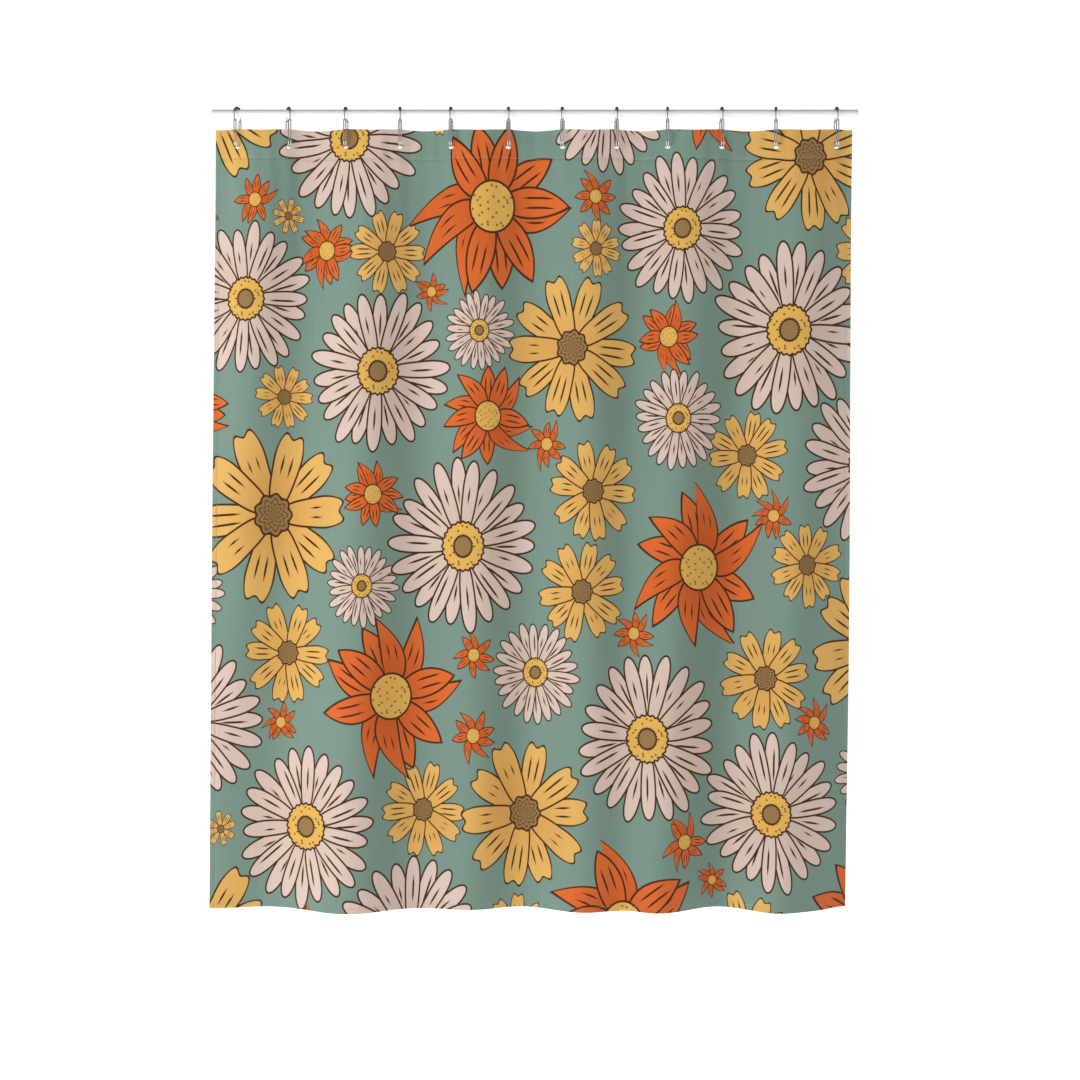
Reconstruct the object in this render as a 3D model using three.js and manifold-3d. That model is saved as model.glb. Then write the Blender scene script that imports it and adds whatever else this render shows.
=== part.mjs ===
// A shower curtain on its rod, hung by twelve roller hooks.
// Millimetres. X runs along the rod, -Y is the front, +Z is up, and the origin is the middle of the
// rod's axis.
import * as THREE from 'three';
import { mergeVertices } from 'three/addons/utils/BufferGeometryUtils.js';
import Module from 'manifold-3d';

const wasm = await Module();
wasm.setup();

// ---- driving dimensions ----

const fitGap = 0.3; // between pieces that touch

const rod = { radius: 9.5, wall: 1.2, overhang: 10, sides: 24 };
const plug = { flange: 1.5, spigot: 12 };

// The hung cloth: its edges lean a little to the left on the way down.
const cloth = {
  hungWidth: 1535,
  offCentre: -2.5, // the middle of the top edge, along X
  leftLean: -17, // how far the left edge has moved at the foot
  rightLean: -12,
  drop: 1880,
  topBelowAxis: 38,
  thickness: 0.5,
  layerGap: 0.4,
  columns: 46,
};
const hem = { belowEyelet: 27.6, bottom: 14, side: 12 };

// The arch over the rod is a little deeper than it is high, so that a hook can turn.
const wire = { radius: 1.1, extraDepth: 1.8, sides: 5, curlSteps: 5, archSteps: 12 };
const bead = { radius: 3.5, count: 5, boreGap: 0.95, neckWall: 0.4, gap: 0.1, sides: 5 };
const link = {
  radius: 1.3,
  halfWidth: 2.7,
  bottomBelowAxis: 80,
  barBelowRod: 4,
  play: 0.8,
  bendSteps: 8,
  sides: 5,
};
// An eyelet is an oval that holds the link's two wires side by side.
const eyelet = { sidePlay: 2.2, endPlay: 2.8, rim: 1.8, belowWire: 0.4, sides: 12, proud: 0.5 };

// Where each hook stands along the hung width, as a share of it.
const hookPlaces = [
  0.035, 0.115, 0.205, 0.29, 0.37, 0.46, 0.545, 0.63, 0.71, 0.795, 0.88, 0.975,
];
// How far each hook has turned about the vertical, in degrees.
const hookTurns = [-23, 21, -7, 6, -6, 7, -8, 6, -5, 6, -7, 6];

// The folds, from left to right: crest and valley lines, each with its share of the width at the foot,
// and how far forward it stands just below the hem and at the foot. At the top they lie midway
// between the hooks, and stand this far forward and back by turns.
const hookWave = 14;
const foldLines = [
  { foot: -0.09, high: -28, low: -40 },
  { foot: 0.01, high: 28, low: -18 },
  { foot: 0.09, high: -28, low: -44 },
  { foot: 0.22, high: 26, low: 54 },
  { foot: 0.33, high: -24, low: -24 },
  { foot: 0.41, high: 22, low: 6 },
  { foot: 0.49, high: -28, low: -45 },
  { foot: 0.59, high: 28, low: 40 },
  { foot: 0.65, high: -24, low: 4 },
  { foot: 0.7, high: 24, low: 50 },
  { foot: 0.8, high: -27, low: -45 },
  { foot: 0.89, high: 26, low: 52 },
  { foot: 0.94, high: -26, low: 22 },
  { foot: 1.0, high: 20, low: -52 },
  { foot: 1.09, high: -20, low: -60 },
];
const foldSettle = 0.16; // share of the drop over which the folds open out below the hooks

// ---- values that follow ----

const rodLength = cloth.hungWidth + 2 * rod.overhang;
const archHeight = rod.radius + bead.radius + fitGap;
const archDepth = archHeight + wire.extraDepth;
const clothTop = -cloth.topBelowAxis;
const clothFoot = clothTop - cloth.drop;
const catchOffset = wire.radius + link.radius + link.play; // from the arch's end to the bar it holds
const legDepth = archDepth - catchOffset; // the link's legs stand this far before and behind the axis
const barHeight = -rod.radius - fitGap - link.radius - link.barBelowRod;
const eyeletHeight = -link.bottomBelowAxis - eyelet.belowWire;
const eyeletHalfWidth = link.halfWidth + link.radius + eyelet.sidePlay;
const eyeletHalfHeight = link.radius + eyelet.endPlay;
const topHemDepth = clothTop - eyeletHeight + hem.belowEyelet;

// ---- shared shapes ----

const mix = (a, b, share) => a + (b - a) * share;
const smooth = (x) => x * x * (3 - 2 * x);
const clamp = THREE.MathUtils.clamp;

function leftEdge(down) {
  return cloth.offCentre - cloth.hungWidth / 2 + cloth.leftLean * down;
}

function widthAt(down) {
  return cloth.hungWidth + (cloth.rightLean - cloth.leftLean) * down;
}

// The place of a fold line at the top: midway between two hooks, and evenly on beyond the last.
function foldTop(k) {
  const [first, last] = [hookPlaces[0], hookPlaces.at(-1)];
  if (k === 0) return (3 * first - hookPlaces[1]) / 2;
  if (k < hookPlaces.length) return (hookPlaces[k - 1] + hookPlaces[k]) / 2;
  return last + ((last - first) / (hookPlaces.length - 1)) * (k - hookPlaces.length + 0.5);
}

// How far back (+Y) the cloth's middle stands, at a share across and a share down.
function foldDepth(across, down) {
  const open = smooth(clamp(down / foldSettle, 0, 1));
  const lines = foldLines.map(({ foot, high, low }, k) => ({
    place: mix(foldTop(k), foot, down),
    depth: mix(mix(k % 2 ? hookWave : -hookWave, high, open), low, smooth(down)),
  }));
  const next = clamp(lines.findIndex((line) => line.place > across), 1, lines.length - 1);
  const [before, after] = [lines[next - 1], lines[next]];
  const share = (across - before.place) / (after.place - before.place);
  return -mix(before.depth, after.depth, (1 - Math.cos(Math.PI * share)) / 2);
}

function clothPoint(across, down, behind) {
  const x = leftEdge(down) + across * widthAt(down);
  return [x, foldDepth(across, down) + behind, mix(clothTop, clothFoot, down)];
}

// A closed sheet over a grid of shares, its layer standing this far behind the panel's middle.
function sheet(acrossShares, downShares, behind) {
  const [wide, tall] = [acrossShares.length, downShares.length];
  const half = cloth.thickness / 2;
  const points = [];
  for (const side of [-half, half]) {
    for (const down of downShares) {
      for (const across of acrossShares) points.push(...clothPoint(across, down, behind + side));
    }
  }
  const index = [];
  const quad = (a, b, c, d) => index.push(a, b, c, a, c, d);
  const front = (i, j) => j * wide + i;
  const back = (i, j) => (tall + j) * wide + i;
  for (let j = 0; j < tall - 1; j++) {
    for (let i = 0; i < wide - 1; i++) {
      quad(front(i, j), front(i, j + 1), front(i + 1, j + 1), front(i + 1, j));
      index.push(back(i, j), back(i + 1, j + 1), back(i, j + 1));
      index.push(back(i, j), back(i + 1, j), back(i + 1, j + 1));
    }
  }
  for (let i = 0; i < wide - 1; i++) {
    quad(front(i, 0), front(i + 1, 0), back(i + 1, 0), back(i, 0));
    quad(front(i + 1, tall - 1), front(i, tall - 1), back(i, tall - 1), back(i + 1, tall - 1));
  }
  for (let j = 0; j < tall - 1; j++) {
    quad(front(0, j + 1), front(0, j), back(0, j), back(0, j + 1));
    quad(front(wide - 1, j), front(wide - 1, j + 1), back(wide - 1, j + 1), back(wide - 1, j));
  }
  const geometry = new THREE.BufferGeometry();
  geometry.setAttribute('position', new THREE.Float32BufferAttribute(points, 3));
  geometry.setIndex(index);
  return geometry;
}

function toSolid(geometry) {
  const bare = geometry.clone();
  for (const name of ['normal', 'uv']) bare.deleteAttribute(name);
  const merged = mergeVertices(bare, 1e-4);
  return new wasm.Manifold(
    new wasm.Mesh({
      numProp: 3,
      vertProperties: Float32Array.from(merged.attributes.position.array),
      triVerts: Uint32Array.from(merged.index.array),
    }),
  );
}

function fromSolid(solid) {
  const mesh = solid.getMesh();
  const geometry = new THREE.BufferGeometry();
  geometry.setAttribute('position', new THREE.BufferAttribute(mesh.vertProperties, 3));
  geometry.setIndex(new THREE.BufferAttribute(mesh.triVerts, 1));
  return geometry;
}

// A turned ring or tube about +Y from a closed profile of [radius, height] points.
function turned(profile, sides) {
  const points = profile.map(([radius, height]) => new THREE.Vector2(radius, height));
  return new THREE.LatheGeometry(points, sides);
}

// A smooth curve that steps from one of its points to the next, however far apart they are.
function throughPoints(points, closed) {
  const curve = new THREE.CatmullRomCurve3(points, closed);
  curve.getPointAt = curve.getPoint;
  curve.getTangentAt = curve.getTangent;
  return curve;
}

function bentWire(points, radius, sides) {
  const section = new THREE.Shape(
    Array.from({ length: sides }, (_, k) => {
      const angle = (2 * Math.PI * k) / sides;
      return new THREE.Vector2(radius * Math.cos(angle), radius * Math.sin(angle));
    }),
  );
  const extrudePath = throughPoints(points, false);
  return new THREE.ExtrudeGeometry(section, { steps: points.length - 1, extrudePath });
}

function wireLoop(points, radius, sides) {
  const path = throughPoints(points, true);
  return new THREE.TubeGeometry(path, points.length, radius, sides, true);
}

// ---- materials ----

function finish(color, roughness, metalness) {
  return () => new THREE.MeshStandardMaterial({ color, roughness, metalness });
}
const whiteCoat = finish(0xf2f1f4, 0.35, 0);
const whitePlastic = finish(0xe9e9ec, 0.5, 0);
const chrome = finish(0xc9cbd0, 0.12, 1);
const printedCloth = finish(0x79928a, 0.9, 0);
const thread = finish(0xe8e4dc, 0.9, 0);

// ---- rod ----

function rodTube() {
  const half = rodLength / 2 - plug.flange - fitGap;
  const inner = rod.radius - rod.wall;
  const profile = [
    [rod.radius, -half],
    [rod.radius, half],
    [inner, half],
    [inner, -half],
    [rod.radius, -half],
  ];
  return turned(profile, rod.sides).rotateZ(-Math.PI / 2);
}

function endPlug() {
  const spigotRadius = rod.radius - rod.wall - fitGap;
  const end = rodLength / 2;
  const profile = [
    [0, end - plug.flange - plug.spigot],
    [spigotRadius, end - plug.flange - plug.spigot],
    [spigotRadius, end - plug.flange],
    [rod.radius, end - plug.flange],
    [rod.radius, end],
    [0, end],
  ];
  return turned(profile, rod.sides).rotateZ(-Math.PI / 2);
}

// ---- cloth and hems ----

const sideShare = hem.side / cloth.hungWidth;
const topShare = topHemDepth / cloth.drop;
const footShare = 1 - hem.bottom / cloth.drop;
const clearShare = (2 * fitGap) / cloth.drop; // between two hems that meet at a corner
const behindPanel = cloth.thickness + cloth.layerGap;

const acrossShares = [0, sideShare];
for (let k = 1; k < cloth.columns; k++) acrossShares.push(k / cloth.columns);
acrossShares.push(1 - sideShare, 1);
const downShares = [0, topShare, 0.09, 0.17, 0.32, 0.5, 0.68, 0.85, footShare, 1];

function hemShares(from, to) {
  const between = downShares.filter((share) => share > topShare && share < footShare);
  return [from, ...between, to];
}

function slopeAt(across, down) {
  const step = 0.001;
  const rise = foldDepth(across + step, down) - foldDepth(across - step, down);
  return Math.atan2(rise, 2 * step * widthAt(down));
}

// ---- a hook and its eyelet, made at x = 0 and turned to face out of the cloth ----

function onArc(centreY, centreZ, reachY, reachZ, angle) {
  return new THREE.Vector3(
    0,
    centreY + reachY * Math.cos(angle),
    centreZ + reachZ * Math.sin(angle),
  );
}

function archWire() {
  const path = [];
  const arc = (centreY, centreZ, reachY, reachZ, from, to, count) => {
    for (let k = 0; k <= count; k++) {
      const angle = mix(from, to, k / count);
      path.push(onArc(centreY, centreZ, reachY, reachZ, angle));
    }
  };
  arc(-legDepth, barHeight, catchOffset, catchOffset, 0, -Math.PI, wire.curlSteps);
  path.push(new THREE.Vector3(0, -archDepth, barHeight / 2));
  arc(0, 0, archDepth, archHeight, Math.PI, 0, wire.archSteps);
  path.push(new THREE.Vector3(0, archDepth, barHeight / 2));
  arc(legDepth, barHeight, catchOffset, catchOffset, 0, -Math.PI, wire.curlSteps);
  return bentWire(path, wire.radius, wire.sides);
}

// The beads are threaded close together, so they are one turned string, bent over the rod.
const beadOutline = [[0, 0], [0.28, 0.95], [0.72, 0.95]]; // shares of its length and of its height
function beadString() {
  const pitch = 2 * bead.radius + bead.gap;
  const total = bead.count * pitch;
  const bore = wire.radius + bead.boreGap;
  const neck = bore + bead.neckWall;
  const profile = [];
  for (let k = 0; k < bead.count; k++) {
    for (const [share, size] of beadOutline) {
      profile.push([mix(neck, bead.radius, size), (k + share) * pitch - total / 2]);
    }
  }
  profile.push([neck, total / 2]);
  for (let k = bead.count; k >= 0; k--) profile.push([bore, k * pitch - total / 2]);
  profile.push(profile[0]);
  const geometry = turned(profile, bead.sides);
  const place = geometry.attributes.position;
  for (let n = 0; n < place.count; n++) {
    const angle = Math.PI / 2 - place.getY(n) / ((archHeight + archDepth) / 2);
    const [y, z] = [archDepth + place.getZ(n), archHeight + place.getZ(n)];
    place.setXYZ(n, place.getX(n), y * Math.cos(angle), z * Math.sin(angle));
  }
  return geometry;
}

// A closed wire loop folded like a hairpin: down in front, through the eyelet and up behind.
const shoulderTurn = [[0.8, 0.2], [0.4, 0]]; // out from the middle and below the bar, in half widths
function hairpinLink() {
  const bend = legDepth;
  const bendCentre = -link.bottomBelowAxis + bend;
  const shoulder = barHeight - link.halfWidth;
  const points = [];
  const add = (x, y, z) => points.push(new THREE.Vector3(x, y, z));
  const leg = (x, front) => {
    add(x, -front * bend, shoulder);
    for (let k = 0; k <= link.bendSteps; k++) {
      const angle = (Math.PI * k) / link.bendSteps;
      add(x, -front * bend * Math.cos(angle), bendCentre - bend * Math.sin(angle));
    }
    add(x, front * bend, shoulder);
    const shoulderPoint = (side, [out, below]) => {
      add(side * x * out, front * bend, barHeight - below * link.halfWidth);
    };
    for (const turn of shoulderTurn) shoulderPoint(1, turn);
    for (const turn of [...shoulderTurn].reverse()) shoulderPoint(-1, turn);
  };
  leg(link.halfWidth, 1);
  leg(-link.halfWidth, -1);
  return wireLoop(points, link.radius, link.sides);
}

// An oval this much larger than the eyelet's opening.
function ovalPoints(grow) {
  return Array.from({ length: eyelet.sides }, (_, k) => {
    const angle = (2 * Math.PI * k) / eyelet.sides;
    const across = (eyeletHalfWidth + grow) * Math.cos(angle);
    return new THREE.Vector2(across, (eyeletHalfHeight + grow) * Math.sin(angle));
  });
}

// A flat shape in X and Z, made solid along Y from front to back.
function solidAlongY(shape, front, back) {
  const geometry = new THREE.ExtrudeGeometry(shape, { depth: back - front, bevelEnabled: false });
  return geometry.rotateX(Math.PI / 2).translate(0, back, 0);
}

function eyeletRing() {
  const front = -(cloth.thickness / 2 + eyelet.proud);
  const back = behindPanel + cloth.thickness / 2 + eyelet.proud;
  const shape = new THREE.Shape(ovalPoints(eyelet.rim));
  shape.holes.push(new THREE.Path(ovalPoints(0)));
  return solidAlongY(shape, front, back);
}

// A plain oval plug a little larger than the eyelet, for cutting its hole through both layers.
function eyeletCutter() {
  const reach = 2 * eyeletHalfWidth;
  return solidAlongY(new THREE.Shape(ovalPoints(eyelet.rim + fitGap)), -reach, reach);
}

// ---- assembly ----

const group = new THREE.Group();

function addMesh(parent, name, geometry, material) {
  const mesh = new THREE.Mesh(geometry, material());
  mesh.name = name;
  parent.add(mesh);
  return mesh;
}

addMesh(group, 'rod_tube', rodTube(), whiteCoat);
addMesh(group, 'end_plug_right', endPlug(), whitePlastic);
addMesh(group, 'end_plug_left', endPlug(), whitePlastic).rotation.z = Math.PI;

const eyeletDown = (clothTop - eyeletHeight) / cloth.drop;
const hooks = hookPlaces.map((across, k) => {
  const [x, y] = clothPoint(across, eyeletDown, 0);
  const name = String(k + 1).padStart(2, '0');
  const turn = THREE.MathUtils.degToRad(hookTurns[k]);
  return { name, x, y, slope: slopeAt(across, eyeletDown), turn };
});

const holes = hooks.map(({ x, y, slope }) => {
  const cutter = eyeletCutter().rotateZ(slope).translate(x, y, eyeletHeight);
  return toSolid(cutter);
});

function cutHoles(geometry) {
  return fromSolid(holes.reduce((solid, hole) => solid.subtract(hole), toSolid(geometry)));
}

addMesh(group, 'curtain_panel', cutHoles(sheet(acrossShares, downShares, 0)), printedCloth);
addMesh(group, 'top_hem', cutHoles(sheet(acrossShares, [0, topShare], behindPanel)), printedCloth);
addMesh(group, 'bottom_hem', sheet(acrossShares, [footShare, 1], behindPanel), printedCloth);
const sideRows = hemShares(topShare + clearShare, footShare - clearShare);
addMesh(group, 'side_hem_left', sheet([0, sideShare], sideRows, behindPanel), printedCloth);
addMesh(group, 'side_hem_right', sheet([1 - sideShare, 1], sideRows, behindPanel), printedCloth);

for (const { name, x, y, slope, turn } of hooks) {
  const hook = new THREE.Group();
  hook.position.x = x;
  hook.rotation.z = turn;
  group.add(hook);
  addMesh(hook, `hook_arch_${name}`, archWire(), chrome);
  addMesh(hook, `hook_beads_${name}`, beadString(), chrome);
  addMesh(hook, `hook_link_${name}`, hairpinLink(), chrome);
  const ring = addMesh(group, `eyelet_${name}`, eyeletRing(), thread);
  ring.position.set(x, y, eyeletHeight);
  ring.rotation.z = slope;
}

export default group;
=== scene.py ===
import math
import random
from functools import partial

import bpy
import numpy as np
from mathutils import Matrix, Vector
from mathutils.bvhtree import BVHTree


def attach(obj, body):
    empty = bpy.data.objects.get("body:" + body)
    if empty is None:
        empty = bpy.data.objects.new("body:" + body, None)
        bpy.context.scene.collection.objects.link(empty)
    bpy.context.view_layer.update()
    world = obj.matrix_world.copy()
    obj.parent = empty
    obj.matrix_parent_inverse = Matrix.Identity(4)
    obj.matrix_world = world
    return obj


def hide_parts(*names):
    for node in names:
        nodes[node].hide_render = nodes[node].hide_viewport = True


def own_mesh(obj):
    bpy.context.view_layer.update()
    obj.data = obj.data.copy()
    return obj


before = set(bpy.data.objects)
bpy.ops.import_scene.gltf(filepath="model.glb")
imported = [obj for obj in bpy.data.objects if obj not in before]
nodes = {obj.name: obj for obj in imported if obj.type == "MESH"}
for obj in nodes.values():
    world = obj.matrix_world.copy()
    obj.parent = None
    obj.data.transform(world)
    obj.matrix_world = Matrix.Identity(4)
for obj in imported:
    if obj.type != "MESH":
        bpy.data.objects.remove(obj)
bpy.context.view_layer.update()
print("frame loaded")


def vertexArray(name):
    mesh = nodes[name].data
    flat = np.empty(len(mesh.vertices) * 3)
    mesh.vertices.foreach_get("co", flat)
    return flat.reshape(-1, 3)


def tint(red, green, blue):
    # screen colour, 0 to 255, as the linear colour that shaders use
    def linear(part):
        part /= 255
        return part / 12.92 if part <= 0.04045 else ((part + 0.055) / 1.055) ** 2.4

    return (linear(red), linear(green), linear(blue), 1)


# Camera, floor and light

studio = {
    "cameraPlace": (0.012, -5.6, -1.027),
    "lens": 77.5,
    "floorDrop": 0.156,  # from the cloth's foot down to the floor
    "floorSize": 60,
    "floorGlow": 0.95,
    "keyPower": 118,
    "fillPower": 6,
    "topPower": 12,
    "backPower": 60,
    "skyStrength": 0.208,
}

camera = bpy.data.objects.new("camera", bpy.data.cameras.new("camera"))
camera.data.lens = studio["lens"]
camera.data.clip_end = 200
camera.location = studio["cameraPlace"]
camera.rotation_euler = (math.radians(90), 0, 0)
bpy.context.collection.objects.link(camera)
bpy.context.scene.camera = camera
bpy.context.scene.view_settings.view_transform = "Standard"


def softbox(name, place, target, width, height, power):
    lamp = bpy.data.lights.new(name, "AREA")
    lamp.shape = "RECTANGLE"
    lamp.size = width
    lamp.size_y = height
    lamp.energy = power
    box = bpy.data.objects.new(name, lamp)
    box.location = place
    box.visible_glossy = False  # the chrome mirrors the studio's bands and not the lamps
    aim = Vector(target) - Vector(place)
    box.rotation_euler = aim.to_track_quat("-Z", "Y").to_euler()
    bpy.context.collection.objects.link(box)


middle = (0, 0, -0.95)
softbox("keyLight", (-4.2, -2.6, -1.2), middle, 1.6, 2.6, studio["keyPower"])
softbox("fillLight", (3.6, -4.2, -0.4), middle, 2.6, 2.6, studio["fillPower"])
softbox("topLight", (0, -1.2, 2.6), middle, 3.5, 3.5, studio["topPower"])
softbox("backLight", (1.5, 4.5, 0.6), middle, 3, 3, studio["backPower"])


def ramp(tree, share, first, last, stops):
    node = tree.nodes.new("ShaderNodeValToRGB")
    node.color_ramp.elements[0].color = first
    node.color_ramp.elements[1].color = last
    for position, grey in stops:
        stop = node.color_ramp.elements.new(position)
        stop.color = (grey, grey, grey, 1)
    tree.links.new(share, node.inputs[0])
    return node.outputs[0]


def buildSky():
    # a white surround to look at, a grey one for light, and a darker banded one for the chrome to mirror
    world = bpy.data.worlds.new("studioSky")
    bpy.context.scene.world = world
    world.use_nodes = True
    tree = world.node_tree
    tree.nodes.clear()
    kinds = ("OutputWorld", "LightPath", "TexCoord", "MapRange")
    out, path, direction, bands = [tree.nodes.new("ShaderNode" + kind) for kind in kinds]
    aside, _, height = parts(tree, direction.outputs["Generated"])
    bands.inputs["From Min"].default_value = -1
    tree.links.new(height, bands.inputs["Value"])

    def background(colour, strength):
        node = tree.nodes.new("ShaderNodeBackground")
        setSocket(tree, node.inputs["Color"], colour)
        node.inputs["Strength"].default_value = strength
        return node.outputs[0]

    def chosen(ray, otherwise, then):
        node = tree.nodes.new("ShaderNodeMixShader")
        for socket, value in zip(node.inputs, (path.outputs[ray], otherwise, then)):
            tree.links.new(value, socket)
        return node.outputs[0]

    stops = ((0.42, 0.85), (0.5, 0.42), (0.58, 0.8))
    around = ramp(tree, bands.outputs[0], (0.75, 0.75, 0.76, 1), (1, 1, 1, 1), stops)
    stops = ((0.42, 0.9), (0.52, 0.75), (0.6, 0.2), (0.85, 0.07))
    heights = ramp(tree, bands.outputs[0], (0.85, 0.85, 0.86, 1), (0.3, 0.3, 0.32, 1), stops)
    stops = ((0.3, 0.9), (0.6, 0.4), (0.85, 0.3))
    sides = ramp(tree, calc(tree, "ABSOLUTE", aside), (1, 1, 1, 1), (0.9, 0.9, 0.9, 1), stops)
    mirrored = background(tintMix(tree, 1.0, heights, sides, blend="MULTIPLY"), 1)
    lighting = background(around, studio["skyStrength"])
    unseen = chosen("Is Glossy Ray", lighting, mirrored)
    sky = chosen("Is Camera Ray", unseen, background((1, 1, 1, 1), 1.05))
    tree.links.new(sky, out.inputs[0])


# Node helpers


def setSocket(tree, socket, value):
    if isinstance(value, bpy.types.NodeSocket):
        tree.links.new(value, socket)
    else:
        socket.default_value = value


def calc(tree, operation, *values, clamp=False):
    node = tree.nodes.new("ShaderNodeMath")
    node.operation = operation
    node.use_clamp = clamp
    for socket, value in zip(node.inputs, values):
        setSocket(tree, socket, value)
    return node.outputs[0]


def sums(tree):
    names = ("ADD", "SUBTRACT", "MULTIPLY", "DIVIDE", "MULTIPLY_ADD")
    return [partial(calc, tree, name) for name in names]


def tintMix(tree, share, first, second, blend="MIX"):
    node = tree.nodes.new("ShaderNodeMix")
    node.data_type = "RGBA"
    node.blend_type = blend
    setSocket(tree, node.inputs[0], share)
    setSocket(tree, node.inputs[6], first)
    setSocket(tree, node.inputs[7], second)
    return node.outputs[2]


def parts(tree, vector):
    node = tree.nodes.new("ShaderNodeSeparateXYZ")
    setSocket(tree, node.inputs[0], vector)
    return list(node.outputs)


def joined(tree, *values):
    node = tree.nodes.new("ShaderNodeCombineXYZ")
    for socket, value in zip(node.inputs, values):
        setSocket(tree, socket, value)
    return node.outputs[0]


def newGroup(name, inputs, outputs):
    group = bpy.data.node_groups.new(name, "ShaderNodeTree")
    for label, kind in inputs:
        group.interface.new_socket(label, in_out="INPUT", socket_type="NodeSocket" + kind)
    for label, kind in outputs:
        group.interface.new_socket(label, in_out="OUTPUT", socket_type="NodeSocket" + kind)
    given = group.nodes.new("NodeGroupInput")
    result = group.nodes.new("NodeGroupOutput")
    return group, given.outputs, result.inputs


def placeGroup(tree, group, **values):
    node = tree.nodes.new("ShaderNodeGroup")
    node.node_tree = group
    for label, value in values.items():
        setSocket(tree, node.inputs[label], value)
    return node.outputs


def newMaterial(name, colour, roughness, metallic=0.0):
    material = bpy.data.materials.new(name)
    material.use_nodes = True
    shader = material.node_tree.nodes["Principled BSDF"]
    shader.inputs["Base Color"].default_value = colour
    shader.inputs["Roughness"].default_value = roughness
    shader.inputs["Metallic"].default_value = metallic
    return material, material.node_tree, shader


def addBump(tree, shader, height, distance, strength=1.0):
    bump = tree.nodes.new("ShaderNodeBump")
    bump.inputs["Strength"].default_value = strength
    bump.inputs["Distance"].default_value = distance
    tree.links.new(height, bump.inputs["Height"])
    tree.links.new(bump.outputs[0], shader.inputs["Normal"])


buildSky()

# Mesh helpers


def addObject(name, mesh, materials):
    for material in materials:
        mesh.materials.append(material)
    thing = bpy.data.objects.new(name, mesh)
    bpy.context.collection.objects.link(thing)
    return thing


def newMesh(name, points, faces):
    mesh = bpy.data.meshes.new(name)
    mesh.from_pydata(points, [], faces)
    return mesh


def smoothMesh(mesh, sharpFrom=None):
    mesh.polygons.foreach_set("use_smooth", np.ones(len(mesh.polygons), dtype=bool))
    if sharpFrom:
        mesh.set_sharp_from_angle(angle=math.radians(sharpFrom))


def turnedPlace(x, y, turn):
    return x * math.cos(turn) - y * math.sin(turn), x * math.sin(turn) + y * math.cos(turn)


def barrelFaces(first, rings, sides):
    # the faces of a closed barrel whose rings of points follow each other from point number first
    faces = []
    for ring in range(rings - 1):
        for k in range(sides):
            a = first + ring * sides + k
            b = first + ring * sides + (k + 1) % sides
            faces.append((a, b, b + sides, a + sides))
    faces.append(tuple(first + k for k in reversed(range(sides))))
    faces.append(tuple(first + (rings - 1) * sides + k for k in range(sides)))
    return faces


# Effects shared by several materials


def buildFineRelief():
    # a small even unevenness, as height, with a mask of where it has worn or dulled
    group, given, result = newGroup(
        "fineRelief",
        [("Place", "Vector"), ("Scale", "Float")],
        [("Height", "Float"), ("Mask", "Float")],
    )
    for label, ratio, detail in (("Height", 1.0, 2.0), ("Mask", 0.12, 4.0)):
        noise = group.nodes.new("ShaderNodeTexNoise")
        noise.inputs["Detail"].default_value = detail
        group.links.new(given["Place"], noise.inputs["Vector"])
        scale = calc(group, "MULTIPLY", given["Scale"], ratio)
        group.links.new(scale, noise.inputs["Scale"])
        group.links.new(noise.outputs[0], result[label])
    return group


def buildRibWeave():
    # upright ribs crossed by fine weft threads, from flat cloth coordinates
    group, given, result = newGroup(
        "ribWeave",
        [("Flat", "Vector"), ("RibPitch", "Float"), ("WeftPitch", "Float")],
        [("Height", "Float"), ("Tone", "Float")],
    )
    across, down, _ = parts(group, given["Flat"])

    def wave(place, pitch):
        turns = calc(group, "DIVIDE", place, pitch)
        swing = calc(group, "SINE", calc(group, "MULTIPLY", turns, 2 * math.pi))
        return calc(group, "MULTIPLY_ADD", swing, 0.5, 0.5)

    rib = wave(across, given["RibPitch"])
    weft = wave(down, given["WeftPitch"])
    height = calc(group, "MULTIPLY_ADD", weft, 0.25, calc(group, "MULTIPLY", rib, 0.75))
    noise = group.nodes.new("ShaderNodeTexNoise")
    noise.inputs["Scale"].default_value = 1.0
    noise.inputs["Detail"].default_value = 3.0
    streak = joined(group, calc(group, "MULTIPLY", across, 260), calc(group, "MULTIPLY", down, 9), 0)
    group.links.new(streak, noise.inputs["Vector"])
    tone = calc(group, "MULTIPLY_ADD", noise.outputs[0], 0.14, 0.93)
    group.links.new(height, result["Height"])
    group.links.new(tone, result["Tone"])
    return group


fineRelief = buildFineRelief()
ribWeave = buildRibWeave()


def reliefAt(tree, scale):
    place = tree.nodes.new("ShaderNodeTexCoord")
    return placeGroup(tree, fineRelief, Place=place.outputs["Object"], Scale=scale)


# The printed flowers: three generic kinds, drawn by formula

printInk = {
    "ground": tint(123, 149, 137),
    "outline": tint(72, 42, 20),
    "gold": tint(226, 178, 98),
    "goldDeep": tint(214, 160, 84),
    "pale": tint(220, 197, 184),
    "paleDeep": tint(208, 184, 168),
    "orange": tint(220, 106, 46),
    "orangeDeep": tint(198, 86, 28),
    "yolk": tint(226, 178, 88),
    "brown": tint(150, 118, 74),
}
lineWidth = {"fixed": 0.0012, "share": 0.019}  # metres, and share of a flower's radius

# cosmos, daisy and flame: how each kind's petals are cut, under the names of petalRing's inputs
bloomShapes = {
    "HalfWidth": (0.225, 0.125, 0.18),
    "Start": (0.06, 0.1, 0.02),
    "Blunt": (3.6, 2.6, 2.0),
    "Taper": (0.5, 0.62, 1.0),  # width at the base, as a share of the width at the tip
    "Pointed": (0, 0, 1),
    "Notch": (0.08, 0, 0),
    "Bend": (0, 0, 1.0),
    "Shorter": (0.07, 0.12, 0.1),
}
bloomMiddles = (0.23, 0.28, 0.29)  # share of a flower's radius


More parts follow.
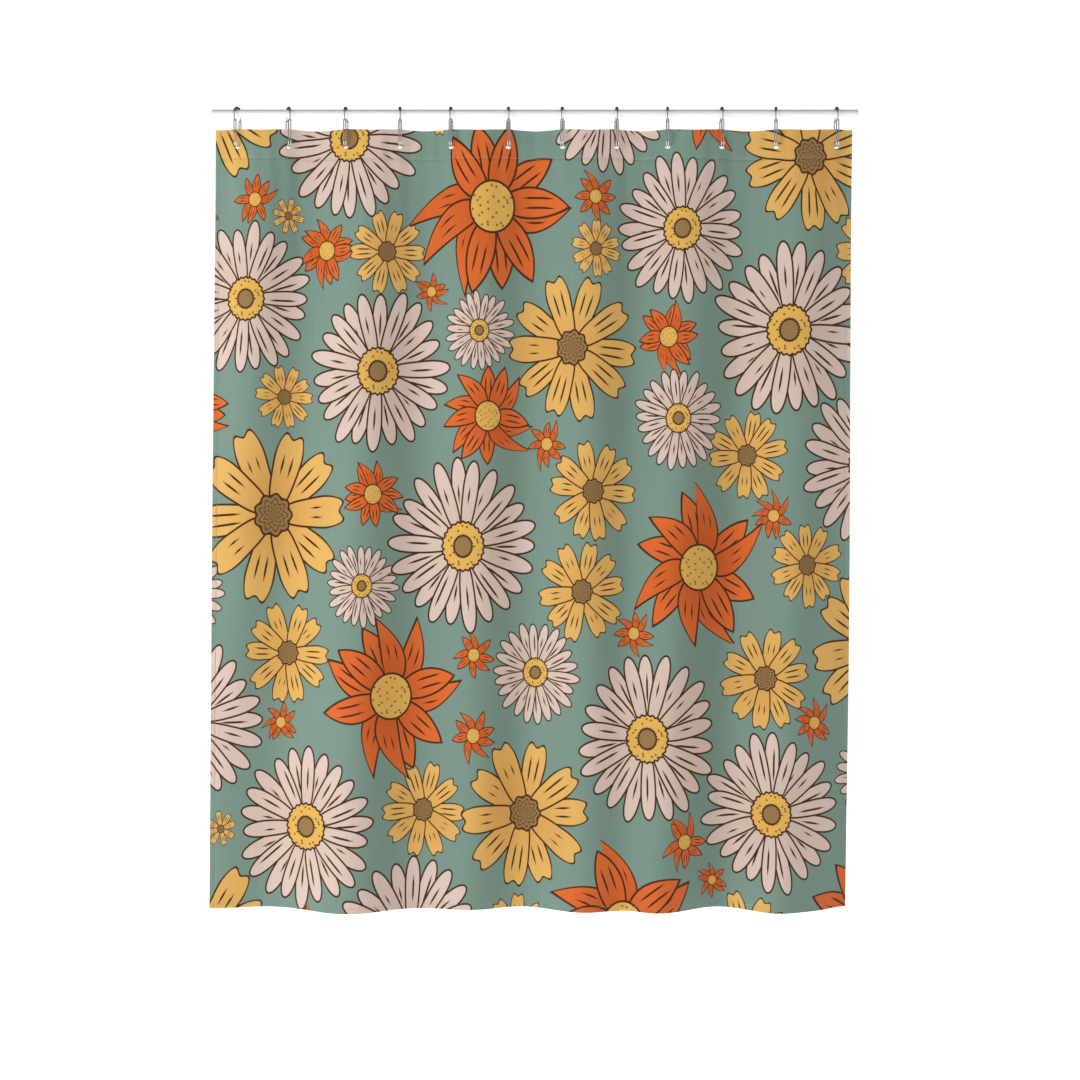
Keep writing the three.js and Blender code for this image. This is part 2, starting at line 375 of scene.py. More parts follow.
def buildPetalRing():
    # one ring of petals around (0, 0), in units of the flower's radius
    labels = ["X", "Y", "Petals", "Turn", "Seed", *bloomShapes]
    group, given, result = newGroup(
        "petalRing",
        [(label, "Float") for label in labels],
        [(label, "Float") for label in ("Inside", "Along", "Side", "Width", "Chance")],
    )
    do = partial(calc, group)
    add, sub, mul, div, mulAdd = sums(group)

    radius = do("SQRT", add(do("POWER", given["X"], 2), do("POWER", given["Y"], 2)))
    angle = sub(do("ARCTAN2", given["Y"], given["X"]), given["Turn"])
    sector = div(2 * math.pi, given["Petals"])
    petal = do("ROUND", div(angle, sector))
    number = do("FLOORED_MODULO", add(petal, 0.01), given["Petals"])
    hashNode = group.nodes.new("ShaderNodeTexWhiteNoise")
    hashNode.noise_dimensions = "2D"
    hashPlace = joined(group, do("ROUND", number), given["Seed"], 0)
    group.links.new(hashPlace, hashNode.inputs["Vector"])
    swing, shrink, chance = parts(group, hashNode.outputs["Color"])

    lean = mul(sub(swing, 0.5), mul(sector, 0.12))
    local = sub(sub(angle, mul(petal, sector)), lean)
    out = mul(radius, do("COSINE", local))
    curve = mul(given["Bend"], sub(chance, 0.25))
    aside = mul(radius, do("SINE", local))
    aside = sub(aside, mul(curve, mul(out, mul(out, out))))

    length = sub(1, mul(given["Shorter"], shrink))
    widen = mulAdd(out, sub(1, given["Taper"]), given["Taper"])
    width = mul(given["HalfWidth"], widen)
    side = div(aside, width)
    ripple = do("COSINE", mul(side, 2 * math.pi))
    cut = mul(given["Notch"], mulAdd(ripple, 0.5, 0.5))
    end = sub(length, cut)
    centre = mul(add(given["Start"], end), 0.5)
    half = mul(sub(end, given["Start"]), 0.5)
    fromCentre = sub(out, centre)

    # a rounded petal: a blunt oval, with its distance from the slope of the formula
    share = do("ABSOLUTE", div(fromCentre, half))
    inside = sub(1, do("POWER", share, given["Blunt"]))
    inside = sub(inside, mul(side, side))
    slopeOut = mul(given["Blunt"], do("POWER", share, sub(given["Blunt"], 1)))
    slopeOut = div(slopeOut, half)
    slopeSide = div(mul(side, 2), width)
    slope = do("SQRT", add(do("POWER", slopeOut, 2), do("POWER", do("ABSOLUTE", slopeSide), 2)))
    rounded = div(inside, do("MAXIMUM", slope, 0.6))

    # a pointed petal: where two equal circles overlap
    squares = add(do("POWER", half, 2), do("POWER", width, 2))
    bow = div(squares, mul(width, 2))
    offset = add(do("ABSOLUTE", aside), sub(bow, width))
    reach = add(mul(fromCentre, fromCentre), mul(offset, offset))
    pointed = sub(bow, do("SQRT", reach))

    step = sub(pointed, rounded)
    found = (mulAdd(given["Pointed"], step, rounded), div(out, length), side, width, chance)
    for socket, value in zip(result, found):
        group.links.new(value, socket)
    return group


petalRing = buildPetalRing()


def buildBloom():
    # one whole flower: a back ring of petals, a front ring, and the middle
    group, given, result = newGroup(
        "bloom",
        [("Flat", "Vector"), ("Place", "Vector"), ("Form", "Vector")],
        [("Colour", "Color"), ("Mask", "Float")],
    )
    do = partial(calc, group)
    add, sub, mul, div, mulAdd = sums(group)

    flatAcross, flatUp, _ = parts(group, given["Flat"])
    centreAcross, centreUp, size = parts(group, given["Place"])
    petals, kind, turn = parts(group, given["Form"])
    x = div(sub(flatAcross, centreAcross), size)
    y = div(sub(flatUp, centreUp), size)
    isKind = [do("COMPARE", kind, number, 0.4) for number in range(3)]
    seed = mul(add(centreAcross, mul(centreUp, 7)), 31)

    def pick(values):
        total = 0.0
        for flag, value in zip(isKind, values):
            total = mulAdd(flag, value, total)
        return total

    def pickTint(names):
        colour = printInk[names[0]]
        for flag, name in zip(isKind[1:], names[1:]):
            colour = tintMix(group, flag, colour, printInk[name])
        return colour

    line = add(div(lineWidth["fixed"], size), lineWidth["share"])
    soft = div(0.0006, size)

    def covers(distance):
        return add(div(distance, soft), 0.5, clamp=True)

    petalShape = {name: pick(values) for name, values in bloomShapes.items()}
    middle = pick(bloomMiddles)
    light = pickTint(("gold", "pale", "orange"))
    deep = pickTint(("goldDeep", "paleDeep", "orangeDeep"))
    colour = printInk["outline"]
    mask = 0.0
    for ring in range(2):
        halfStep = div(math.pi, petals)
        ringTurn = turn if ring else add(turn, halfStep)
        leaf = placeGroup(
            group, petalRing, X=x, Y=y, Petals=petals, Turn=ringTurn, Seed=add(seed, 3.7 * ring), **petalShape
        )
        # vein strokes: two on a cosmos or flame petal, one off the middle on a daisy petal
        single = sub(leaf["Side"], mulAdd(leaf["Chance"], 0.5, -0.25))
        double = sub(do("ABSOLUTE", leaf["Side"]), 0.3)
        fromVein = mulAdd(isKind[1], sub(single, double), double)
        fromVein = mul(do("ABSOLUTE", fromVein), leaf["Width"])
        veinFrom = mulAdd(leaf["Chance"], 0.12, 0.38)
        veinTo = mulAdd(leaf["Chance"], -0.16, 0.82)
        ends = do("MINIMUM", sub(leaf["Along"], veinFrom), sub(veinTo, leaf["Along"]))
        stroke = do("MINIMUM", mul(line, 0.5), mul(ends, 0.12))
        vein = covers(sub(stroke, fromVein))
        deepest = mulAdd(leaf["Chance"], 0.5, 0.7)
        shade = mulAdd(leaf["Along"], -1.3, deepest, clamp=True)
        fill = tintMix(group, shade, light, deep)
        fill = tintMix(group, vein, fill, printInk["outline"])
        fill = tintMix(group, covers(sub(line, leaf["Inside"])), fill, printInk["outline"])
        over = covers(leaf["Inside"])
        colour = tintMix(group, over, colour, fill)
        mask = do("MAXIMUM", mask, over)

    radius = do("SQRT", add(mul(x, x), mul(y, y)))
    angle = do("ARCTAN2", y, x)
    scallop = mul(do("COSINE", mul(angle, 24)), 0.008)
    lobes = mul(do("COSINE", mul(angle, 9)), 0.013)
    wavy = mulAdd(isKind[0], lobes, mul(isKind[1], scallop))
    edge = add(middle, wavy)
    toEdge = sub(edge, radius)
    heart = pickTint(("brown", "yolk", "yolk"))

    # the cosmos has ruffled rings, the others are dotted
    ruffled = add(toEdge, mul(lobes, 0.9))
    ripple = do("SINE", mul(ruffled, 2 * math.pi / 0.062))
    rings = mul(do("GREATER_THAN", ripple, 0.55), isKind[0])
    dots = group.nodes.new("ShaderNodeTexVoronoi")
    dots.voronoi_dimensions = "2D"
    dots.inputs["Scale"].default_value = 11
    group.links.new(joined(group, x, y, 0), dots.inputs["Vector"])
    speck = mul(do("LESS_THAN", dots.outputs["Distance"], 0.15), sub(1, isKind[0]))
    heart = tintMix(group, mul(do("MAXIMUM", rings, speck), 0.75), heart, printInk["outline"])

    # the daisy's inner button
    button = add(sub(0.13, radius), mul(scallop, 0.7))
    buttonMask = mul(covers(button), isKind[1])
    buttonRim = mul(covers(sub(line, button)), buttonMask)
    heart = tintMix(group, buttonMask, heart, printInk["brown"])
    heart = tintMix(group, buttonRim, heart, printInk["outline"])
    heart = tintMix(group, covers(sub(line, toEdge)), heart, printInk["outline"])
    over = covers(toEdge)
    group.links.new(tintMix(group, over, colour, heart), result["Colour"])
    group.links.new(do("MAXIMUM", mask, over), result["Mask"])
    return group


bloom = buildBloom()

# Where the flowers stand: large ones scattered first, then each widest gap filled in turn

scatter = {
    "seed": 24,
    "large": (0.185, 0.225),
    "largeTries": 5000,
    "closeness": 0.92,  # 1 lets large flowers just touch
    "fillLargest": 0.13,
    "fillShare": 1.34,  # how much of a gap its flower fills
    "smallest": 0.034,
    "largeLiking": (0.8, 1.3, 0.9),  # cosmos, daisy, flame
    "mediumLiking": (1.1, 1.0, 0.8),
    "smallLiking": (0.6, 0.45, 1.6),
    "mediumFrom": 0.075,
}
flatSize = (1.803, 1.88)
flatMargin = 0.09  # the print runs on past the edges, into the hems


def scatterBlooms():
    chance = random.Random(scatter["seed"])
    low = (-flatMargin, -flatMargin)
    high = (flatSize[0] + flatMargin, flatSize[1] + flatMargin)
    blooms = []

    def randomPlace():
        return chance.uniform(low[0], high[0]), chance.uniform(low[1], high[1])

    def chooseKind(across, up, liking):
        # the kind whose nearest flower of its own sort is farthest off
        scores = []
        for kind in range(3):
            gaps = [math.hypot(b[0] - across, b[1] - up) for b in blooms if b[3] == kind]
            scores.append(liking[kind] * min(gaps, default=1.0) * chance.uniform(0.75, 1.25))
        return scores.index(max(scores))

    for _ in range(scatter["largeTries"]):
        across, up = randomPlace()
        size = chance.uniform(*scatter["large"])
        if all(math.hypot(b[0] - across, b[1] - up) > scatter["closeness"] * (b[2] + size) for b in blooms):
            blooms.append((across, up, size, chooseKind(across, up, scatter["largeLiking"])))

    spots = np.array([randomPlace() for _ in range(9000)])
    room = np.full(len(spots), 9.0)
    for bloomAcross, bloomUp, size, _ in blooms:
        room = np.minimum(room, np.hypot(spots[:, 0] - bloomAcross, spots[:, 1] - bloomUp) - size)
    while room.max() > scatter["smallest"]:
        best = int(room.argmax())
        across, up = spots[best]
        size = min(room[best] * scatter["fillShare"], scatter["fillLargest"])
        liking = scatter["mediumLiking"] if size > scatter["mediumFrom"] else scatter["smallLiking"]
        blooms.append((across, up, size, chooseKind(across, up, liking)))
        room = np.minimum(room, np.hypot(spots[:, 0] - across, spots[:, 1] - up) - size)

    forms = []
    for across, up, size, kind in blooms:
        small = size < scatter["mediumFrom"]
        perRing = ((5, 11, 6), (4, 8, 4))[small][kind]
        forms.append((across, up, size, perRing, kind, chance.uniform(0, 2 * math.pi)))
    return np.array(forms)


blooms = scatterBlooms()
print("print laid out:", len(blooms), "flowers")


def paintBlooms(mesh):
    # gives each face the one or two flowers that reach it
    count = len(mesh.polygons)
    uv = np.empty(len(mesh.loops) * 2)
    mesh.uv_layers["flatCloth"].data.foreach_get("uv", uv)
    uv = uv.reshape(-1, 2)
    starts = np.empty(count, dtype=np.int64)
    totals = np.empty(count, dtype=np.int64)
    mesh.polygons.foreach_get("loop_start", starts)
    mesh.polygons.foreach_get("loop_total", totals)
    centres = np.add.reduceat(uv, starts, axis=0) / totals[:, None]
    places = np.tile((-9.0, -9.0, 1.0), (2, count, 1))
    forms = np.tile((5.0, 0.0, 0.0), (2, count, 1))
    used = np.zeros(count, dtype=int)
    for across, up, size, perRing, kind, turn in blooms:
        near = np.hypot(centres[:, 0] - across, centres[:, 1] - up) < size + 0.011
        for layer in range(2):
            here = near & (used == layer)
            places[layer][here] = (across, up, size)
            forms[layer][here] = (perRing, kind, turn)
            used[here] += 1
            near &= ~here
    for layer in range(2):
        for label, values in (("bloomPlace", places), ("bloomForm", forms)):
            data = mesh.attributes.new(f"{label}{layer + 1}", "FLOAT_VECTOR", "FACE")
            data.data.foreach_set("vector", values[layer].astype(np.float32).ravel())


# Cloth materials

clothLook = {
    "ribPitch": 0.0042,
    "weftPitch": 0.0013,
    "ribHeight": 0.00022,
    "roughness": 0.82,
    "sheen": 0.12,
    "backTint": tint(238, 237, 232),
    "showThrough": 0.1,  # how much of the print can be seen from behind
}


def clothMaterial(name, printed):
    material, tree, shader = newMaterial(name, clothLook["backTint"], clothLook["roughness"])
    flat = tree.nodes.new("ShaderNodeUVMap")
    flat.uv_map = "flatCloth"
    colour = printInk["ground"]
    for layer in (2, 1):
        place = tree.nodes.new("ShaderNodeAttribute")
        place.attribute_name = f"bloomPlace{layer}"
        form = tree.nodes.new("ShaderNodeAttribute")
        form.attribute_name = f"bloomForm{layer}"
        drawn = placeGroup(
            tree, bloom, Flat=flat.outputs[0], Place=place.outputs["Vector"], Form=form.outputs["Vector"]
        )
        colour = tintMix(tree, drawn["Mask"], colour, drawn["Colour"])
    weave = placeGroup(
        tree, ribWeave, Flat=flat.outputs[0], RibPitch=clothLook["ribPitch"], WeftPitch=clothLook["weftPitch"]
    )
    if not printed:
        colour = tintMix(tree, clothLook["showThrough"], clothLook["backTint"], colour)
    tone = tree.nodes.new("ShaderNodeCombineColor")
    for socket in tone.inputs[:3]:
        tree.links.new(weave["Tone"], socket)
    colour = tintMix(tree, 1.0, colour, tone.outputs[0], blend="MULTIPLY")
    tree.links.new(colour, shader.inputs["Base Color"])
    addBump(tree, shader, weave["Height"], clothLook["ribHeight"], 0.5)
    shader.inputs["Sheen Weight"].default_value = clothLook["sheen"]
    shader.inputs["Specular IOR Level"].default_value = 0.25
    return material


printedFace = clothMaterial("printedFace", True)
clothReverse = clothMaterial("clothReverse", False)

# The hung cloth: its drape is read off the frame's panel and smoothed

drape = {
    "columns": 180,
    "rows": 188,
    "smoothAcross": 10,
    "smoothDown": 60,
    "topSag": 0.022,  # share of the space between two hooks
    "sagFades": 0.12,
    "footDip": 0.05,
    "pleatDepth": 0.0026,
    "pleatPitch": 0.046,
    "pleatLength": 0.16,
    "seamPinch": 0.0009,
    "pleatReach": 0.055,
    "plainRing": 0.013,  # around an eyelet the cloth stays plain
    "plainFades": 0.02,
    "seamWidth": 0.0022,
    "sideSeamWidth": 0.002,
    "crinkle": 0.0007,
}
clothThickness = 0.0005
hemBehind = 0.0009
panelPoints = vertexArray("curtain_panel")
clothTop = panelPoints[:, 2].max()
clothFoot = panelPoints[:, 2].min()
topEdge = panelPoints[panelPoints[:, 2] > clothTop - 0.0005]
footEdge = panelPoints[panelPoints[:, 2] < clothFoot + 0.0005]
drop = clothTop - clothFoot
hemDepth = clothTop - vertexArray("top_hem")[:, 2].min()
footHemDepth = vertexArray("bottom_hem")[:, 2].max() - clothFoot
sideHemWidth = 0.012
hookNumbers = [name[-2:] for name in sorted(nodes) if name.startswith("eyelet_")]
eyeletCentres = []
eyeletTurns = []
for number in hookNumbers:
    ring = vertexArray("eyelet_" + number)
    centre = (ring.min(axis=0) + ring.max(axis=0)) / 2
    spread = np.linalg.eigh(np.cov((ring - centre)[:, :2].T))[1][:, 1]
    eyeletCentres.append(centre)
    if spread[0] < 0:
        spread = -spread
    eyeletTurns.append(math.atan2(spread[1], spread[0]))
hookXs = np.array([centre[0] for centre in eyeletCentres])
eyeletZ = float(np.mean([centre[2] for centre in eyeletCentres]))


def smoothed(values, axis, passes):
    for _ in range(passes):
        padded = np.concatenate(
            [values.take([0], axis=axis), values, values.take([-1], axis=axis)], axis=axis
        )
        count = padded.shape[axis]
        before = padded.take(range(0, count - 2), axis=axis)
        after = padded.take(range(2, count), axis=axis)
        values = 0.25 * before + 0.5 * values + 0.25 * after
    return values


def readDrape():
    mesh = nodes["curtain_panel"].data
    tree = BVHTree.FromPolygons(
        [v.co for v in mesh.vertices], [list(p.vertices) for p in mesh.polygons]
    )
    acrossGrid = np.linspace(0, 1, drape["columns"] + 1)
    downGrid = np.linspace(0, 1, drape["rows"] + 1)
    depth = np.full((len(downGrid), len(acrossGrid)), np.nan)
    for row, down in enumerate(downGrid):
        left, right = edgesAt(down)
        z = min(max(clothTop - down * drop, clothFoot + 0.0002), clothTop - 0.0002)
        for column, across in enumerate(acrossGrid):
            x = left + min(max(across, 0.0003), 0.9997) * (right - left)
            hit = tree.ray_cast(Vector((x, -1, z)), Vector((0, 1, 0)))[0]
            if hit:
                depth[row, column] = hit.y + clothThickness / 2
        found = ~np.isnan(depth[row])
        depth[row] = np.interp(acrossGrid, acrossGrid[found], depth[row][found])
    depth = smoothed(depth, 1, drape["smoothAcross"])
    return smoothed(depth, 0, drape["smoothDown"])


def edgesAt(down):
    left = topEdge[:, 0].min() * (1 - down) + footEdge[:, 0].min() * down
    right = topEdge[:, 0].max() * (1 - down) + footEdge[:, 0].max() * down
    return left, right


drapeDepth = readDrape()


def clothPoints(across, down):
    # places on the cloth's middle, for arrays of shares across and down
    column = np.clip(across, 0, 1) * drape["columns"]
    row = np.clip(down, 0, 1) * drape["rows"]
    c = np.minimum(column.astype(int), drape["columns"] - 1)
    r = np.minimum(row.astype(int), drape["rows"] - 1)
    s, t = column - c, row - r
    y = (drapeDepth[r, c] * (1 - s) + drapeDepth[r, c + 1] * s) * (1 - t)
    y += (drapeDepth[r + 1, c] * (1 - s) + drapeDepth[r + 1, c + 1] * s) * t
    left, right = edgesAt(down)
    x = left + across * (right - left)
    z = clothTop - down * drop

    # the top edge hangs a little lower between two hooks
    after = np.clip(np.searchsorted(hookXs, x), 1, len(hookXs) - 1)
    gap = hookXs[after] - hookXs[after - 1]
    share = np.clip((x - hookXs[after - 1]) / gap, 0, 1)
    fade = np.clip(1 - down / drape["sagFades"], 0, 1) ** 2
    z = z - drape["topSag"] * gap * np.sin(math.pi * share) ** 2 * fade
    z = z + drape["footDip"] * y * down**3

    # soft pleats run down from each hook, away from the ring itself
    toHook = np.abs(x[..., None] - hookXs).min(axis=-1)
    below = np.maximum(eyeletZ - z, 0)
    clear = np.clip((np.hypot(toHook, z - eyeletZ) - drape["plainRing"]) / drape["plainFades"], 0, 1)
    pleat = np.cos(2 * math.pi * toHook / drape["pleatPitch"])
    pleat = pleat * np.exp(-((toHook / drape["pleatReach"]) ** 2))
    y = y - drape["pleatDepth"] * pleat * np.exp(-below / drape["pleatLength"]) * clear

    # a faint crinkle, and the pull of the sewn seams
    crinkle = np.sin(31 * x + 5 * z) * np.sin(9 * z - 6 * x) + 0.6 * np.sin(57 * x - 11 * z)
    y = y + drape["crinkle"] * crinkle * clear
    seam = np.exp(-((down * drop - hemDepth) / drape["seamWidth"]) ** 2)
    fromSide = np.minimum(across, 1 - across) * (right - left)
    sideSeam = np.exp(-((fromSide - sideHemWidth) / drape["sideSeamWidth"]) ** 2)
    y = y + drape["seamPinch"] * np.maximum(seam, sideSeam)
    return np.stack([x, y, z], axis=-1)


def clothSheet(name, across, down, behind, flatAt, frontMaterial, backMaterial):
    # a thin closed sheet over a grid; flatAt gives each point's place on the cloth before it was sewn
    acrossGrid, downGrid = np.meshgrid(across, down)
    centre = clothPoints(acrossGrid, downGrid)
    rows, columns = acrossGrid.shape
    normals = np.cross(np.gradient(centre, axis=1), -np.gradient(centre, axis=0))
    normals /= np.linalg.norm(normals, axis=-1, keepdims=True)  # towards the front
    front = centre + normals * (clothThickness / 2 - behind)
    back = centre - normals * (clothThickness / 2 + behind)
    points = np.concatenate([front.reshape(-1, 3), back.reshape(-1, 3)])
    size = rows * columns
    index = np.arange(size).reshape(rows, columns)
    a, b = index[:-1, :-1].ravel(), index[:-1, 1:].ravel()
    c, d = index[1:, 1:].ravel(), index[1:, :-1].ravel()
    frontFaces = np.stack([a, d, c, b], axis=1)
    backFaces = np.stack([a, b, c, d], axis=1) + size
    ring = np.concatenate([index[0], index[1:, -1], index[-1, -2::-1], index[-2:0:-1, 0]])
    following = np.roll(ring, -1)
    rim = np.stack([ring, following, following + size, ring + size], axis=1)
    faces = np.concatenate([frontFaces, backFaces, rim])
    mesh = newMesh(name, points.tolist(), faces.tolist())
    flat = np.stack(flatAt(acrossGrid, downGrid), axis=-1).reshape(-1, 2)
    loops = np.empty(len(mesh.loops), dtype=np.int64)
    mesh.loops.foreach_get("vertex_index", loops)
    uv = mesh.uv_layers.new(name="flatCloth")
    uv.data.foreach_set("uv", flat[loops % size].astype(np.float32).ravel())
    slots = np.zeros(len(faces), dtype=np.int32)
    slots[len(frontFaces) : len(frontFaces) + len(backFaces)] = 1
    mesh.polygons.foreach_set("material_index", slots)
    return addObject(name, mesh, [frontMaterial, backMaterial])


eyeletLook = {
    "halfWide": 0.0071,
    "halfHigh": 0.005,
    "halfRim": 0.00085,
    "halfDepth": 0.0012,
    "wraps": 30,
    "ridge": 0.1,
}


def holeCutter(halfWide, halfHigh):
    points, faces = [], []
    sides = 24
    reach = 0.02
    for centre, turn in zip(eyeletCentres, eyeletTurns):
        first = len(points)
        for end in (-reach, reach):
            for k in range(sides):
                angle = 2 * math.pi * k / sides
                x, z = halfWide * math.cos(angle), halfHigh * math.sin(angle)
                x, y = turnedPlace(x, end, turn)
                points.append((centre[0] + x, centre[1] + y, centre[2] + z))
        faces.append([first + k for k in range(sides)])
        faces.append([first + sides + k for k in reversed(range(sides))])
        for k in range(sides):
            n = (k + 1) % sides
            faces.append([first + n, first + k, first + sides + k, first + sides + n])
    return addObject("holeCutter", newMesh("holeCutter", points, faces), [])


def cutHoles(sheet, cutter):
    punch = sheet.modifiers.new("holes", "BOOLEAN")
    punch.operation = "DIFFERENCE"
    punch.solver = "EXACT"
    punch.object = cutter
    ready = sheet.evaluated_get(bpy.context.evaluated_depsgraph_get())
    mesh = bpy.data.meshes.new_from_object(ready)
    sheet.modifiers.clear()
    sheet.data = mesh


def sharesWith(count, *extra):
    return np.unique(np.round(np.concatenate([np.linspace(0, 1, count + 1), *extra]), 6))


topWidth = topEdge[:, 0].max() - topEdge[:, 0].min()
sideShare = sideHemWidth / topWidth
hemShare = hemDepth / drop
footShare = footHemDepth / drop
besideSeam = np.array([-0.004, -0.002, -0.001, 0, 0.001, 0.002, 0.004])
panelAcross = sharesWith(
    drape["columns"], sideShare + besideSeam / topWidth, 1 - sideShare + besideSeam / topWidth
)
panelDown = sharesWith(drape["rows"], hemShare + besideSeam / drop)


def unfolded(across, down):
    return across * flatSize[0], down * flatSize[1]


def hem(name, across, down, flatAt):
    return clothSheet(name, across, down, hemBehind, flatAt, clothReverse, printedFace)


panel = clothSheet(
    "panel", panelAcross, panelDown, 0, lambda across, down: unfolded(across, 1 - down),
    printedFace, clothReverse,
)
topDown = panelDown[panelDown <= hemShare + 1e-6]
topHem = hem("topHem", panelAcross, topDown, lambda across, down: unfolded(across, 1 + down))
footDown = np.linspace(1 - footShare, 1, 4)
footHem = hem("footHem", panelAcross, footDown, lambda across, down: unfolded(across, down - 1))
hemEnd = 0.0008  # the side hems stop this share short of the top and foot hems
betweenHems = panelDown[(panelDown > hemShare + hemEnd) & (panelDown < 1 - footShare - hemEnd)]
leftAcross = panelAcross[panelAcross <= sideShare + 1e-6]
leftHem = hem("leftHem", leftAcross, betweenHems, lambda across, down: unfolded(-across, 1 - down))
rightAcross = panelAcross[panelAcross >= 1 - sideShare - 1e-6]
rightHem = hem("rightHem", rightAcross, betweenHems, lambda across, down: unfolded(2 - across, 1 - down))
cutter = holeCutter(eyeletLook["halfWide"], eyeletLook["halfHigh"])
for sheet in (panel, topHem):
    cutHoles(sheet, cutter)
bpy.data.objects.remove(cutter)
for sheet in (panel, topHem, footHem, leftHem, rightHem):
    smoothMesh(sheet.data, 40)
    paintBlooms(sheet.data)
print("cloth hung:", len(panel.data.polygons), "faces")

# Sewing thread: a stitch at a time along each hem

sewing = {"stitch": 0.0042, "gap": 0.0018, "thickness": 0.00042, "edgeIn": 0.002}


def threadMaterial(name, colour):
    material, tree, shader = newMaterial(name, colour, 0.7)
    relief = reliefAt(tree, 1400.0)
    darker = (0.8 * colour[0], 0.8 * colour[1], 0.8 * colour[2], 1)
    tree.links.new(tintMix(tree, relief["Mask"], colour, darker), shader.inputs["Base Color"])
    addBump(tree, shader, relief["Height"], 0.0001)
    shader.inputs["Sheen Weight"].default_value = 0.2
    return material


def seamRuns():
    # the start and end of each seam, as shares across and down
    inTop = hemShare - sewing["edgeIn"] / drop
    inFoot = 1 - footShare + sewing["edgeIn"] / drop
    inSide = sideShare - sewing["edgeIn"] / topWidth
    return [
        ((0.002, inTop), (0.998, inTop)),
        ((0.002, inFoot), (0.998, inFoot)),
        ((inSide, hemShare + 0.002), (inSide, 1 - footShare - 0.002)),
        ((1 - inSide, hemShare + 0.002), (1 - inSide, 1 - footShare - 0.002)),
    ]


def sewSeams():
    points, faces = [], []
    sides = 6
    stitchShape = ((0, 0.35), (0.2, 0.95), (0.8, 0.95), (1, 0.35))  # share along, share of its thickness
    for (acrossFrom, downFrom), (acrossTo, downTo) in seamRuns():
        run = np.hypot((acrossTo - acrossFrom) * topWidth, (downTo - downFrom) * drop)
        count = int(run / (sewing["stitch"] + sewing["gap"]))
        begins = np.arange(count) / count
        ends = begins + sewing["stitch"] / (sewing["stitch"] + sewing["gap"]) / count
        for offset in (-clothThickness / 2, hemBehind + clothThickness / 2):
            tips = []
            for shares in (begins, ends):
                place = clothPoints(
                    acrossFrom + shares * (acrossTo - acrossFrom), downFrom + shares * (downTo - downFrom)
                )
                place[:, 1] += offset
                tips.append(place)
            for start, end in zip(*tips):
                direction = (end - start) / np.linalg.norm(end - start)
                outwards = np.array((0, 1.0, 0))
                beside = np.cross(direction, outwards)
                beside /= np.linalg.norm(beside)
                up = np.cross(beside, direction)
                first = len(points)
                for share, size in stitchShape:
                    middlePoint = start + (end - start) * share
                    for k in range(sides):
                        angle = 2 * math.pi * k / sides
                        spoke = beside * math.cos(angle) + up * math.sin(angle)
                        points.append(tuple(middlePoint + spoke * size * sewing["thickness"]))
                faces += barrelFaces(first, len(stitchShape), sides)
    mesh = newMesh("seamThread", points, faces)
    smoothMesh(mesh)
    return addObject("seamThread", mesh, [threadMaterial("seamThread", tint(150, 170, 158))])


seamThread = sewSeams()
print("hems sewn:", len(seamThread.data.polygons), "thread faces")

# Whipped eyelets, one oval ring of thread for each hook

eyeletThread = threadMaterial("eyeletThread", tint(150, 166, 154))


def whippedEyelet(number, centre, turn):
    around, across = eyeletLook["wraps"] * 4, 10
    points = []
    for k in range(around):
        angle = 2 * math.pi * k / around
        for n in range(across):
            section = 2 * math.pi * n / across
            ridge = 1 + eyeletLook["ridge"] * math.cos(eyeletLook["wraps"] * angle + section)
            outward = eyeletLook["halfRim"] * ridge * math.cos(section)
            depth = eyeletLook["halfDepth"] * ridge * math.sin(section) + hemBehind / 2
            x = (eyeletLook["halfWide"] + outward) * math.cos(angle)
            z = (eyeletLook["halfHigh"] + outward) * math.sin(angle)
            x, y = turnedPlace(x, depth, turn)
            points.append((centre[0] + x, centre[1] + y, centre[2] + z))
    faces = []
    for k in range(around):
        for n in range(across):
            a, b = k * across + n, k * across + (n + 1) % across
            c, d = (k + 1) % around * across + n, (k + 1) % around * across + (n + 1) % across
            faces.append((a, b, d, c))
    mesh = newMesh("whippedEyelet" + number, points, faces)
    smoothMesh(mesh)
    return addObject("whippedEyelet" + number, mesh, [eyeletThread])


# Hooks: arched wire, roller beads and a hairpin link

hookSizes = {
    "rodRadius": 0.0095,
    "fitGap": 0.0003,
    "wireRadius": 0.0011,
    "extraDepth": 0.0018,
    "beadSeat": 0.0035,  # the arch's middle above the rod, less the gap
    "beadRadius": 0.0034,
    "barrelCut": 0.1,  # share of a round bead cut off flat at each end
    "beadPitch": 0.0071,
    "beadCount": 5,
    "linkRadius": 0.0013,
    "linkHalfWidth": 0.0027,
    "linkBottom": 0.080,
    "linkPlay": 0.0008,
    "barBelowRod": 0.004,
    "shoulderRadius": 0.0022,
}
chromeLook = {
    # the arch's tint is darker than the link's: painted shade standing for the dark reflections on the wire
    # over the rod
    "arch": (0.42, 0.43, 0.46, 1),
    # the beads' near-black tint is a painted dark reflection on the chrome rollers, not their own colour
    "beads": (0.16, 0.165, 0.18, 1),
    "link": (0.7, 0.71, 0.74, 1),
    "metal": {"arch": 1.0, "beads": 1.0, "link": 0.85},
    "roughness": 0.18,
    "scuffed": 0.15,
}
archHeight = hookSizes["rodRadius"] + hookSizes["beadSeat"] + hookSizes["fitGap"]
archDepth = archHeight + hookSizes["extraDepth"]
catchOffset = hookSizes["wireRadius"] + hookSizes["linkRadius"] + hookSizes["linkPlay"]
legDepth = archDepth - catchOffset
belowAxis = ("rodRadius", "fitGap", "linkRadius", "barBelowRod")
barHeight = -sum(hookSizes[part] for part in belowAxis)


